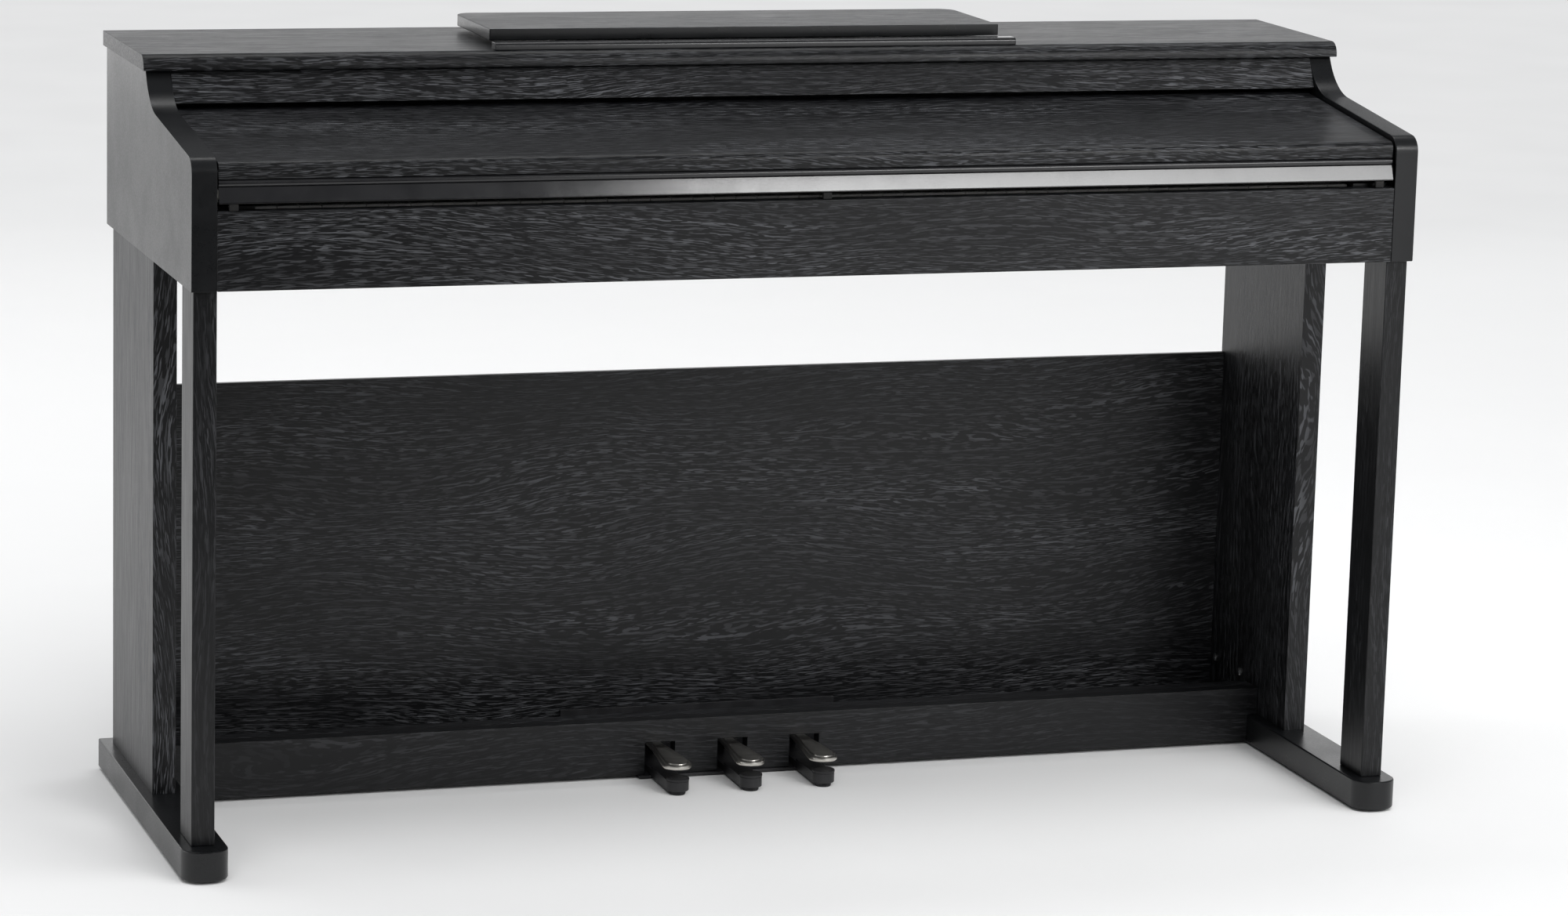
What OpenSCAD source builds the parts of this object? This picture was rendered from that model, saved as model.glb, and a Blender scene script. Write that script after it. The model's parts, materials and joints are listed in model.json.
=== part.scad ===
// Digital piano on its stand: cabinet with a sliding key cover, 88 keys,
// a folding music desk, two runner feet and a pedal box with three pedals.
// Origin: floor level, middle of the bounding box. +Z up, player at -Y.

/* [Overall] */
// Width over the two feet
foot_span = 1381; // [1320:1:1440]
// Length of a foot from front to back
foot_len = 492; // [490:1:500]
// Height of the top board's upper face
top_z = 837.5; // [836:0.5:845]

/* [Cabinet] */
// Width over the two cheeks
cheek_span = 1364; // [1362:1:1368]
// Thickness of a cheek
cheek_t = 26.5; // [24:0.5:28]
// Height of the underside of the cabinet
case_z = 623; // [618:1:626]
// Thickness of the top board
top_t = 16.5; // [15:0.5:17]
// Overhang of the top board past each cheek
top_over = 4; // [0:0.5:6]
// Height of the keyslip's top edge
slip_top = 705.5; // [700:0.5:706]
// Thickness of the keyslip
slip_t = 18; // [16:0.5:18]

/* [Key cover] */
// Slope of the key cover and of the cheeks beside it, degrees
slope = 6.2; // [6:0.1:6.4]
// Thickness of the cover board
cover_t = 17; // [14:0.5:17]
// Travel of the cover along its slope
cover_travel = 208; // [180:1:208]
// Height of the lower edge of the cover's front strip
lip_z = 713.5; // [713:0.5:716]

/* [Keyboard] */
// Distance from one white key to the next
key_pitch = 23.5; // [23.2:0.1:23.6]
// Length of a white key that the player sees
key_len = 150; // [146:1:150]
// Height of the white keys' top faces
key_top = 706.5; // [704:0.5:706.5]
// Height of a black key above the white ones
black_rise = 11.5; // [10:0.5:11.5]

/* [Music desk] */
// Width of the music desk
desk_w = 590; // [560:5:620]
// Depth of the music desk
desk_d = 159; // [159:1:165]
// Thickness of the music desk
desk_t = 12.5; // [10:0.5:14]

/* [Stand] */
// Height of a foot's upper face
foot_top = 35.5; // [34:0.5:37]
// Width of a foot
foot_w = 50; // [48:1:52]
// Thickness of the side panels
panel_t = 25.5; // [24:0.5:26]
// Thickness of the front legs
leg_t = 24.8; // [24:0.1:25]
// Depth of the front legs
leg_d = 58; // [50:1:60]
// Height of the back panel's top edge
back_top = 444; // [400:1:460]

/* [Pedals] */
// Distance between pedals
pedal_pitch = 86; // [80:1:90]
// Distance of the middle pedal from the middle of the stand
pedal_shift = 5; // [0:1:10]
// Height of a pedal's upper face
pedal_top = 38; // [37:0.5:39]

/* [Hidden] */

$fn = 48;

// Every y below is measured back from the front ends of the feet.
case_front = 17.5;
case_back = 487;
inner_x = cheek_span / 2 - cheek_t;
top_front = 254.5;
top_back = 488.5;
top_round = 14;
under_top = top_z - top_t;

// Cheek outline: nose, slope and the hollow curve up to the top board
nose_r = 18;
hollow_r = 70;
slope_end = 208;
slope_z = 762 + (slope_end - 40) * tan(slope);
nose_y = case_front + 0.5 + nose_r;
nose_z = slope_z - (slope_end - nose_y) * tan(slope) - nose_r / cos(slope);

// Key cover, set on its own sloping frame
cover_y = 25;
cover_z = slope_z - (slope_end - cover_y) * tan(slope) - 5;
cover_nose = 4;
cover_round = 8;
cover_len = 238;
rail_bottom = 730;
track_y = 32;
track_z = 722;
pin_r = 5;
track_depth = 10;
track_h = 18;
rear_pin = 200;

// Board thicknesses inside the cabinet
keybed_t = 15;
rear_t = 12;
rear_y = case_back - 1 - rear_t;
bed_top = case_z + keybed_t;

// Keys
white_count = 52;
middle_c = 23;
key_front = 45;
key_gap = 1;
head_len = 50;
white_h = 20;
black_w = 11;
black_len = 95;
key_pivot_y = 270;
key_pivot_z = 692;
rod_r = 2.5;
fit = 0.06;
stick_w = 9.5;
keys_half = white_count * key_pitch / 2;

// Control panel behind the keys
panel_y = 229.5;
panel_z = 722.5;
panel_tilt = 13;
panel_d = 66;
panel_sheet = 4;
button_r = 5;
knob_r = 9;
free_gap = 0.3;

// Music desk
desk_front = 311;
desk_z = top_z + 5.5;
hinge_y = 314;
hinge_z = top_z + 2.7;
hinge_x = 190;
hinge_w = 60;
knuckle_r = 2.4;
desk_pin_r = 1.4;
leaf_t = 1.4;
leaf_d = 31;
stay_arm = 75;
stay_x = 150;

// Stand
side_front = 239;
side_back = 470;
side_x = cheek_span / 2 - 4;
leg_front = 25;
leg_x = cheek_span / 2 - 3.5;
back_t = 8;
back_bottom = 12;
glide_h = 3;
foot_round = 22;

// Pedal box and pedals
box_front = 318;
box_top = 68;
box_bottom = 4.5;
box_t = 18;
top_strip = 20;
base_reach = 25;
base_wide = 80;
base_split = 345;
base_back = 455;
base_lap = 1;
slot_w = 35;
slot_top = 42;
pedal_tip = 235;
pedal_t = 8.5;
paddle_r = 16.5;
pedal_pivot_y = 405;
pedal_pivot_z = 30;
pedal_pin_r = 3;
arm_w = 22;
collar_r = 12;
collar_y = 247;
collar_top = 19;
adjuster_r = 9;

// ---- Helpers ----

// Moves a shape from the feet's front to the frame's own origin
module from_front() translate([0, -foot_len / 2, 0]) children();

// Extrudes a (y, z) outline along X
module along_x(x0, x1) translate([x0, 0, 0]) rotate([90, 0, 90]) linear_extrude(x1 - x0) children();

// Extrudes an (x, z) outline along Y
module along_y(y0, y1) translate([0, y1, 0]) rotate([90, 0, 0]) linear_extrude(y1 - y0) children();

// A box given by its corners
module block(x0, x1, y0, y1, z0, z1) translate([x0, y0, z0]) cube([x1 - x0, y1 - y0, z1 - z0]);

// A round bar along X
module bar_x(x0, x1, y, z, r) translate([x0, y, z]) rotate([0, 90, 0]) cylinder(h = x1 - x0, r = r);

// A round bar along Y
module bar_y(x, y0, y1, z, r) translate([x, y1, z]) rotate([90, 0, 0]) cylinder(h = y1 - y0, r = r);

// The frame of the key cover: y along the slope, z square to it
module on_slope() translate([0, cover_y, cover_z]) rotate([slope, 0, 0]) children();

// The frame of the groove that the cover's pins run in
module on_track() translate([0, track_y, track_z]) rotate([slope, 0, 0]) children();

// The frame of the control panel's upper face
module on_panel(x) translate([x, panel_y, panel_z]) rotate([panel_tilt, 0, 0]) children();

module both_sides() {
    children();
    mirror([1, 0, 0]) children();
}

// ---- Cabinet ----

module top_board() color([0.10, 0.10, 0.11]) from_front()
    along_x(-cheek_span / 2 - top_over, cheek_span / 2 + top_over) {
        polygon([
            [top_front, under_top], [top_back, under_top], [top_back, top_z],
            [top_front + top_round, top_z], [top_front + top_round, top_z - top_round],
            [top_front, top_z - top_round]
        ]);
        intersection() {
            translate([top_front + top_round, top_z - top_round]) circle(r = top_round, $fn = 96);
            translate([top_front, under_top]) square([top_round, top_t]);
        }
    }

module cheek_outline() {
    difference() {
        polygon([
            [case_front + 0.5, case_z], [case_back, case_z], [case_back, under_top],
            [slope_end, under_top], [slope_end, slope_z],
            [nose_y - nose_r * sin(slope), nose_z + nose_r * cos(slope)],
            [nose_y, nose_z], [case_front + 0.5, nose_z]
        ]);
        translate([slope_end - hollow_r * sin(slope), slope_z + hollow_r * cos(slope)])
            circle(r = hollow_r, $fn = 96);
    }
    translate([nose_y, nose_z]) circle(r = nose_r);
}

// Rebate that the cover track sits in, cut in the inner face of a cheek
module track_rebate(grow) {
    on_track() translate([inner_x - grow, -12, -track_h / 2])
        cube([track_depth + grow, rear_pin + cover_travel + 24, track_h]);
}

module cheek() difference() {
    along_x(inner_x, cheek_span / 2) cheek_outline();
    track_rebate(1);
}

module right_cheek() color([0.09, 0.09, 0.10]) from_front() cheek();

module left_cheek() color([0.09, 0.09, 0.10]) from_front() mirror([1, 0, 0]) cheek();

module fascia() color([0.10, 0.10, 0.11]) from_front()
    along_x(-inner_x, inner_x)
        polygon([[245, 787], [258.5, 787], [276, under_top], [262.5, under_top]]);

module keyslip() color([0.10, 0.10, 0.11]) from_front()
    block(-inner_x, inner_x, case_front, case_front + slip_t, case_z, slip_top);

module keybed() color([0.13, 0.13, 0.14]) from_front() difference() {
    block(-inner_x, inner_x, case_front + slip_t, rear_y, case_z, bed_top);
    both_sides() translate([450, 385, case_z - 1]) cylinder(h = keybed_t + 2, r = 55);
}

module rear_board() color([0.10, 0.10, 0.11]) from_front() difference() {
    block(-inner_x, inner_x, rear_y, rear_y + rear_t, case_z, under_top);
    block(-560, -440, rear_y - 1, rear_y + rear_t + 1, 655, 691);
}

module cover_track() difference() {
    track_rebate(0);
    on_track() translate([inner_x - 1, 0, 0]) {
        translate([0, 0, -pin_r - free_gap])
            cube([track_depth - 1, rear_pin + cover_travel, 2 * (pin_r + free_gap)]);
        for (y = [0, rear_pin + cover_travel])
            translate([0, y, 0]) rotate([0, 90, 0]) cylinder(h = track_depth - 1, r = pin_r + free_gap);
    }
}

module cover_tracks() color([0.16, 0.16, 0.17]) from_front() both_sides() cover_track();

module key_blocks() color([0.08, 0.08, 0.08]) from_front() both_sides()
    block(keys_half + 2, inner_x - 0.5, case_front + slip_t, 195, bed_top, 709);

// ---- Controls ----

module control_panel() color([0.12, 0.12, 0.13]) from_front() difference() {
    union() {
        on_panel(0) translate([1 - inner_x, -panel_d / 2, -panel_sheet])
            cube([2 * inner_x - 2, panel_d, panel_sheet]);
        both_sides() block(keys_half + 2, inner_x - 1, 256, 262, bed_top, 722);
    }
    on_panel(590) cylinder(h = 20, r = button_r + free_gap, center = true);
    on_panel(60) cylinder(h = 20, r = button_r + free_gap, center = true);
    on_panel(-590) cylinder(h = 20, r = 3 + free_gap, center = true);
}

module push_button(x) from_front() on_panel(x) {
    translate([0, 0, -panel_sheet - 1]) cylinder(h = panel_sheet + 3, r = button_r);
    translate([0, 0, -panel_sheet - 3]) cylinder(h = 1.5, r = button_r + 2);
    translate([0, 0, -panel_sheet - 2]) cylinder(h = 1.5, r = button_r);
}

module power_button() color([0.75, 0.75, 0.77]) push_button(590);

module mode_button() color([0.75, 0.75, 0.77]) push_button(60);

module volume_knob() color([0.2, 0.2, 0.21]) from_front() on_panel(-590) {
    translate([0, 0, 0.5]) cylinder(h = 5.5, r = knob_r);
    translate([0, 0, -8]) cylinder(h = 9, r = 3);
}

module main_board() color([0.05, 0.30, 0.16]) from_front() {
    block(-200, 160, 310, 440, 648, 650);
    for (x = [-185, 145], y = [322, 428])
        translate([x, y, bed_top]) cylinder(h = 10, r = 4);
    for (x = [-150 : 60 : 90])
        block(x, x + 24, 340, 364, 650, 655);
    for (x = [-120, 20])
        translate([x, 405, 650]) cylinder(h = 22, r = 9);
    block(90, 140, 385, 425, 650, 672);
}

module speaker_driver() translate([450, 385, 0]) rotate_extrude()
    polygon([
        [0, bed_top + 32], [24, bed_top + 18], [50, bed_top + 3], [52, bed_top], [66, bed_top],
        [66, bed_top + 4], [56, bed_top + 4], [34, bed_top + 34], [34, bed_top + 52], [0, bed_top + 52]
    ]);

module speaker_drivers() color([0.25, 0.25, 0.26]) from_front() both_sides() speaker_driver();

module speaker_grilles() color([0.08, 0.08, 0.08]) from_front() both_sides()
    translate([450, 385, case_z - 3]) difference() {
        cylinder(h = 3, r = 62);
        for (x = [-42 : 12 : 42])
            translate([x - 3, -sqrt(54 * 54 - x * x) , -1])
                cube([6, 2 * sqrt(54 * 54 - x * x), 5]);
    }

module headphone_box() color([0.07, 0.07, 0.07]) from_front() difference() {
    block(-640, -560, 125, 185, case_z - 17, case_z);
    for (x = [-620, -580])
        bar_y(x, 124, 155, case_z - 8.5, 3.2);
}

module jack_plate() color([0.07, 0.07, 0.07]) from_front() difference() {
    union() {
        block(-559.5, -440.5, rear_y, rear_y + 3, 655.5, 690.5);
        for (x = [-535, -500, -465])
            bar_y(x, rear_y - 14, rear_y, 673, 6);
    }
    for (x = [-535, -500, -465])
        bar_y(x, rear_y - 12, rear_y + 4, 673, x == -535 ? 2.8 : 3.2);
}

// ---- Keys ----

// Left edge of white key i
function edge(i) = (i - white_count / 2) * key_pitch;

// Name of white key i within its octave: 0 is A, 2 is C
function note(i) = i % 7;

// True where a black key stands between white keys i and i + 1
function has_black(i) = i >= 0 && i < white_count - 1 && note(i) != 1 && note(i) != 4;

// Middle of the black key after white key i, off the gap by its place in the group
function black_x(i) = edge(i + 1) + [2.6, 0, -2.4, 2.4, 0, -2.8, 0][note(i)];

// Left and right sides of a white key's narrow rear part
function tail_left(i) = has_black(i - 1) ? black_x(i - 1) + black_w / 2 + key_gap : edge(i) + key_gap / 2;
function tail_right(i) = has_black(i) ? black_x(i) - black_w / 2 - key_gap : edge(i + 1) - key_gap / 2;

// The hidden rear end of a key with its pivot bore
module key_stick(x, y0) difference() {
    union() {
        block(x - stick_w / 2, x + stick_w / 2, y0, key_pivot_y, key_pivot_z - 4, key_pivot_z + 5);
        bar_x(x - stick_w / 2, x + stick_w / 2, key_pivot_y, key_pivot_z, 6);
    }
    bar_x(x - stick_w, x + stick_w, key_pivot_y, key_pivot_z, rod_r + fit);
}

module white_key(i) from_front() {
    block(edge(i) + key_gap / 2, edge(i + 1) - key_gap / 2,
        key_front, key_front + head_len, key_top - white_h, key_top);
    block(tail_left(i), tail_right(i),
        key_front + head_len - 1, key_front + key_len, key_top - white_h, key_top);
    key_stick((tail_left(i) + tail_right(i)) / 2, key_front + key_len - 1);
}

module black_key(i) from_front() {
    x = black_x(i);
    y0 = key_front + head_len + 1;
    y1 = y0 + black_len;
    top = key_top + black_rise;
    intersection() {
        along_x(x - black_w, x + black_w)
            polygon([
                [y0, key_top - 3], [y1, key_top - 3], [y1, top - 1], [y1 - 1, top],
                [y0 + 6, top], [y0 + 3, top - 1]
            ]);
        along_y(y0 - 1, y1 + 1)
            polygon([
                [x - black_w / 2, key_top - 4], [x + black_w / 2, key_top - 4],
                [x + black_w / 2 - 0.8, top], [x - black_w / 2 + 0.8, top]
            ]);
    }
    block(x - stick_w / 2, x + stick_w / 2, y0 + 1, y1, key_pivot_z - 4, key_top - 2);
    key_stick(x, y1 - 1);
}

module bass_white_keys() color([0.95, 0.95, 0.93])
    for (i = [0 : middle_c - 1]) white_key(i);

module bass_black_keys() color([0.05, 0.05, 0.05])
    for (i = [0 : middle_c - 1]) if (has_black(i)) black_key(i);

module treble_white_keys() color([0.95, 0.95, 0.93])
    for (i = [middle_c + 3 : white_count - 1]) white_key(i);

module treble_black_keys() color([0.05, 0.05, 0.05])
    for (i = [middle_c + 3 : white_count - 1]) if (has_black(i)) black_key(i);

module key_c4() color([0.95, 0.95, 0.93]) white_key(middle_c);

module key_d4() color([0.95, 0.95, 0.93]) white_key(middle_c + 1);

module key_e4() color([0.95, 0.95, 0.93]) white_key(middle_c + 2);

module key_c4_sharp() color([0.05, 0.05, 0.05]) black_key(middle_c);

module key_d4_sharp() color([0.05, 0.05, 0.05]) black_key(middle_c + 1);

// Tray under the keys: base, front stop rail and saddles that carry the rod
module key_frame() color([0.3, 0.3, 0.31]) from_front() {
    block(-keys_half, keys_half, 40, 300, bed_top, bed_top + 3);
    block(-keys_half, keys_half, 58, 76, bed_top + 3, 665);
    difference() {
        union() {
            for (x = [-keys_half - 1, keys_half - 2.5])
                block(x, x + 3, 262, 278, bed_top, key_pivot_z + 6);
            for (i = [2 : 7 : white_count - 1])
                block(edge(i) - 1.2, edge(i) + 1.2, 262, 278, bed_top, key_pivot_z + 6);
        }
        bar_x(-keys_half - 5, keys_half + 5, key_pivot_y, key_pivot_z, rod_r);
    }
}

module key_pivot_rod() color([0.7, 0.7, 0.72]) from_front()
    bar_x(-keys_half - 1, keys_half + 0.5, key_pivot_y, key_pivot_z, rod_r);

module key_felts() color([0.6, 0.1, 0.12]) from_front()
    block(-keys_half, keys_half, 60, 74, 665, 674.5);

// ---- Key cover ----

module key_cover() color([0.10, 0.10, 0.11]) from_front() on_slope()
    along_x(2 - inner_x, inner_x - 2) {
        polygon([
            [cover_round - cover_nose, 0], [cover_len, 0], [cover_len, -cover_t],
            [-cover_nose, -cover_t], [-cover_nose, -cover_round], [cover_round - cover_nose, -cover_round]
        ]);
        translate([cover_round - cover_nose, -cover_round]) circle(r = cover_round);
    }

module cover_rail() color([0.05, 0.05, 0.05]) from_front()
    along_x(2 - inner_x, inner_x - 2) {
        polygon([
            [25.5, rail_bottom], [42, rail_bottom], [42, 739.2], [25.5, 737.6]
        ]);
        translate([25.5, (rail_bottom + 737.6) / 2]) circle(r = (737.6 - rail_bottom) / 2);
    }

module cover_lip() color([0.03, 0.03, 0.03]) from_front()
    along_x(2 - inner_x, inner_x - 2)
        polygon([
            [23.5, rail_bottom], [29, rail_bottom], [23.5, lip_z], [18, lip_z], [18, lip_z + 1.5]
        ]);

module cover_guides() color([0.75, 0.75, 0.72]) from_front() both_sides() {
    block(inner_x - 8, inner_x - 3, 30.5, 40, 714, rail_bottom);
    on_track() for (y = [0, rear_pin])
        translate([inner_x - 5, y, 0]) rotate([0, 90, 0]) cylinder(h = 12.5, r = pin_r - free_gap);
    difference() {
        on_track() translate([inner_x - 8, rear_pin - 14, -5]) cube([5, 28, 26]);
        on_slope() translate([0, 0, 50 - cover_t]) cube([2000, 1000, 100], center = true);
    }
}

module cover_bumpers() color([0.05, 0.05, 0.05]) from_front()
    for (x = [-638, 0, 638])
        block(x - 5, x + 5, 18.5, 24.5, slip_top, lip_z - 0.3);

// ---- Music desk ----

module music_desk() color([0.12, 0.12, 0.13]) from_front()
    translate([0, desk_front, desk_z]) linear_extrude(desk_t) {
        r = 20;
        translate([-desk_w / 2, 0]) square([desk_w, desk_d - r]);
        translate([-desk_w / 2 + r, 0]) square([desk_w - 2 * r, desk_d]);
        for (s = [-1, 1])
            translate([s * (desk_w / 2 - r), desk_d - r]) circle(r = r);
    }

// Fixed hinge leaf, notched for the moving leaf's knuckles, with its pin
module desk_hinge_base(x) {
    step = hinge_w / 5;
    plate_y = hinge_y + knuckle_r + free_gap;
    block(x - hinge_w / 2, x + hinge_w / 2, plate_y, hinge_y + leaf_d, top_z, top_z + leaf_t);
    for (k = [0, 2, 4]) {
        x0 = x - hinge_w / 2 + k * step;
        bar_x(x0, x0 + step - 0.4, hinge_y, hinge_z, knuckle_r);
        block(x0, x0 + step - 0.4, hinge_y, plate_y + 1, top_z, top_z + leaf_t);
    }
    bar_x(x - hinge_w / 2 - 1, x + hinge_w / 2 + 1, hinge_y, hinge_z, desk_pin_r);
}

module desk_hinge_bases() color([0.8, 0.8, 0.82]) from_front()
    for (x = [-hinge_x, hinge_x]) desk_hinge_base(x);

// Moving hinge leaf under the desk
module desk_hinge_leaf(x) {
    step = hinge_w / 5;
    difference() {
        union() {
            block(x - hinge_w / 2, x + hinge_w / 2,
                hinge_y + 4, hinge_y + leaf_d, desk_z - leaf_t, desk_z);
            for (k = [1, 3]) {
                x0 = x - hinge_w / 2 + k * step;
                bar_x(x0, x0 + step - 0.4, hinge_y, hinge_z, knuckle_r);
                block(x0, x0 + step - 0.4, hinge_y, hinge_y + 6, hinge_z + 1.2, desk_z);
            }
        }
        bar_x(x - hinge_w, x + hinge_w, hinge_y, hinge_z, desk_pin_r + fit);
    }
}

// Lug pair and pin that hold one arm of the stay
module stay_bracket(x) {
    for (s = [-1, 1])
        along_x(x + s * 6.2 - 0.75, x + s * 6.2 + 0.75) {
            translate([hinge_y + stay_arm, hinge_z]) circle(r = 2.2);
            translate([hinge_y + stay_arm - 2.2, hinge_z]) square([4.4, desk_z - hinge_z]);
        }
    bar_x(x - 7, x + 7, hinge_y + stay_arm, hinge_z, 1);
}

module desk_hinge_leaves() color([0.8, 0.8, 0.82]) from_front()
    for (x = [-1, 1]) {
        desk_hinge_leaf(x * hinge_x);
        stay_bracket(x * stay_x);
    }

// Prop that folds out behind the raised desk: two arms and a cross rod
module desk_stay() color([0.75, 0.75, 0.77]) from_front() {
    for (s = [-1, 1]) difference() {
        union() {
            bar_x(s * stay_x - 4.5, s * stay_x + 4.5, hinge_y + stay_arm, hinge_z, 2);
            block(s * stay_x - 4.5, s * stay_x + 4.5,
                hinge_y + stay_arm, hinge_y + 2 * stay_arm, hinge_z - 1.5, hinge_z + 1.5);
        }
        bar_x(s * stay_x - 9, s * stay_x + 9, hinge_y + stay_arm, hinge_z, 1 + fit);
    }
    bar_x(-stay_x - 4.5, stay_x + 4.5, hinge_y + 2 * stay_arm, hinge_z, 2.2);
}

module desk_ledge() color([0.1, 0.1, 0.1]) from_front()
    along_x(-300, 300) {
        translate([270, top_z]) square([12, 8]);
        translate([266, top_z]) square([8, 4]);
        translate([270, top_z + 4]) circle(r = 4);
    }

// ---- Stand ----

module foot() translate([foot_span / 2 - foot_w / 2, 0, glide_h]) linear_extrude(foot_top - glide_h) {
    inner = foot_w / 2 - foot_round;
    translate([-foot_w / 2, foot_round]) square([foot_w, foot_len - foot_round]);
    translate([-inner, 0]) square([2 * inner, foot_round + 1]);
    for (s = [-1, 1])
        translate([s * inner, foot_round]) circle(r = foot_round);
}

module right_foot() color([0.09, 0.09, 0.10]) from_front() foot();

module left_foot() color([0.09, 0.09, 0.10]) from_front() mirror([1, 0, 0]) foot();

module foot_glides() color([0.05, 0.05, 0.05]) from_front()
    both_sides() for (y = [30, 170, 320, 465])
        translate([foot_span / 2 - foot_w / 2, y, 0]) cylinder(h = glide_h, r = 11);

// Screw places on the inner face of a side panel: y and z
screw_places = [[372, 75], [447, 75]];

module side_panels() color([0.10, 0.10, 0.11]) from_front() both_sides() difference() {
    block(side_x - panel_t, side_x, side_front, side_back, foot_top, case_z);
    for (p = screw_places)
        bar_x(side_x - panel_t - 1, side_x - 8, p[0], p[1], 2);
}

module stand_screws() color([0.85, 0.85, 0.87]) from_front() both_sides()
    for (p = screw_places) {
        bar_x(side_x - panel_t, side_x - 8, p[0], p[1], 2);
        difference() {
            bar_x(side_x - panel_t - 2.4, side_x - panel_t, p[0], p[1], 4.5);
            bar_x(side_x - panel_t - 3, side_x - panel_t - 1.2, p[0], p[1], 1.6);
        }
    }

module front_legs() color([0.10, 0.10, 0.11]) from_front() both_sides()
    block(leg_x - leg_t, leg_x, leg_front, leg_front + leg_d, foot_top, case_z);

// Outline that fills the width between the side panels and steps in between the feet
module between_feet(z0, z1) {
    wide = side_x - panel_t;
    narrow = foot_span / 2 - foot_w;
    translate([-narrow, z0]) square([2 * narrow, z1 - z0]);
    translate([-wide, foot_top]) square([2 * wide, z1 - foot_top]);
}

module back_panel() color([0.10, 0.10, 0.11]) from_front()
    along_y(side_back - back_t, side_back) between_feet(back_bottom, back_top);

// Angle irons that hold the cabinet down on the side panels
module corner_brackets() color([0.08, 0.08, 0.08]) from_front() both_sides()
    for (y = [300, 420]) {
        block(side_x - panel_t - 2, side_x - panel_t, y, y + 30, case_z - 32, case_z);
        block(side_x - panel_t - 32, side_x - panel_t - 2, y, y + 30, case_z - 2, case_z);
    }

// ---- Pedals ----

function pedal_x(k) = pedal_shift + k * pedal_pitch;

module pedal_box_front() color([0.10, 0.10, 0.11]) from_front()
    along_y(box_front, box_front + box_t) difference() {
        between_feet(box_bottom, box_top);
        for (k = [-1 : 1])
            translate([pedal_x(k) - slot_w / 2, 0]) square([slot_w, slot_top]);
    }

module pedal_box_top() color([0.10, 0.10, 0.11]) from_front()
    block(panel_t - side_x, side_x - panel_t,
        box_front + box_t, box_front + box_t + top_strip, box_top - 12, box_top);

module pedal_base() color([0.06, 0.06, 0.06]) from_front() {
    block(pedal_x(-1) - base_reach, pedal_x(1) + base_reach,
        box_front - 4, base_split + base_lap, box_bottom - 3, box_bottom);
    block(pedal_x(-1) - base_wide, pedal_x(1) + base_wide,
        base_split, base_back, box_bottom - 3, box_bottom);
    block(pedal_x(-1) - base_wide, pedal_x(1) + base_wide,
        base_back - 3, base_back, box_bottom - base_lap, 50);
}

// Arm under a pedal: pivot ears at the back, collar for the adjuster in front
module pedal_arm(x) difference() {
    union() {
        block(x - arm_w / 2, x + arm_w / 2, collar_y, box_front - 4, 3, 15);
        block(x - arm_w / 2, x + arm_w / 2, box_front - 4, 430, box_bottom, 12);
        translate([x, collar_y, 5]) cylinder(h = collar_top - 5, r = collar_r);
        for (s = [-1, 1])
            block(x + s * 12.5 - 1.5, x + s * 12.5 + 1.5, 390, 420, box_bottom, 42);
    }
    translate([x, collar_y, 0]) cylinder(h = collar_top - 2, r = adjuster_r + 0.1);
    bar_x(x - 20, x + 20, pedal_pivot_y, pedal_pivot_z, pedal_pin_r);
}

module pedal_arms() color([0.05, 0.05, 0.05]) from_front()
    for (k = [-1 : 1]) pedal_arm(pedal_x(k));

module pedal_pins() color([0.75, 0.75, 0.77]) from_front()
    for (k = [-1 : 1])
        bar_x(pedal_x(k) - 15, pedal_x(k) + 15, pedal_pivot_y, pedal_pivot_z, pedal_pin_r);

// Torsion springs: a few turns of wire on each side of a pedal's boss
module pedal_springs() color([0.6, 0.6, 0.62]) from_front()
    for (k = [-1 : 1], s = [-1, 1], turn = [0 : 1])
        translate([pedal_x(k) + s * (7.5 + turn * 2.1), pedal_pivot_y, pedal_pivot_z])
            rotate([0, 90, 0]) rotate_extrude() translate([4.4, 0]) circle(r = 1, $fn = 16);

module pedal(k) color([0.88, 0.87, 0.84]) from_front() translate([pedal_x(k), 0, 0]) difference() {
    union() {
        translate([0, 0, pedal_top - pedal_t]) linear_extrude(pedal_t) {
            translate([0, pedal_tip + paddle_r]) circle(r = paddle_r);
            polygon([
                [-paddle_r, pedal_tip + paddle_r], [paddle_r, pedal_tip + paddle_r],
                [9, box_front - 6], [6, box_front + 30], [6, 430],
                [-6, 430], [-6, box_front + 30], [-9, box_front - 6]
            ]);
        }
        bar_x(-6, 6, pedal_pivot_y, pedal_pivot_z, 8);
    }
    bar_x(-7, 7, pedal_pivot_y, pedal_pivot_z, pedal_pin_r + fit);
}

module left_pedal() pedal(-1);

module middle_pedal() pedal(0);

module right_pedal() pedal(1);

module adjuster(k) color([0.12, 0.12, 0.12]) from_front()
    translate([pedal_x(k), collar_y, 0]) cylinder(h = 13, r = adjuster_r);

module left_adjuster() adjuster(-1);

module middle_adjuster() adjuster(0);

module right_adjuster() adjuster(1);

top_board();
left_cheek();
right_cheek();
fascia();
keyslip();
keybed();
rear_board();
cover_tracks();
key_blocks();
control_panel();
power_button();
volume_knob();
mode_button();
main_board();
speaker_drivers();
speaker_grilles();
headphone_box();
jack_plate();
key_frame();
key_pivot_rod();
key_felts();
bass_white_keys();
bass_black_keys();
treble_white_keys();
treble_black_keys();
key_c4();
key_c4_sharp();
key_d4();
key_d4_sharp();
key_e4();
key_cover();
cover_rail();
cover_lip();
cover_guides();
cover_bumpers();
music_desk();
desk_hinge_bases();
desk_hinge_leaves();
desk_stay();
desk_ledge();
left_foot();
right_foot();
foot_glides();
side_panels();
front_legs();
back_panel();
pedal_box_front();
pedal_box_top();
pedal_base();
pedal_arms();
pedal_pins();
pedal_springs();
left_pedal();
middle_pedal();
right_pedal();
left_adjuster();
middle_adjuster();
right_adjuster();
stand_screws();
corner_brackets();
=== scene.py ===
import json
import math
import bpy
import bmesh
from mathutils import Matrix, Vector


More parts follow.
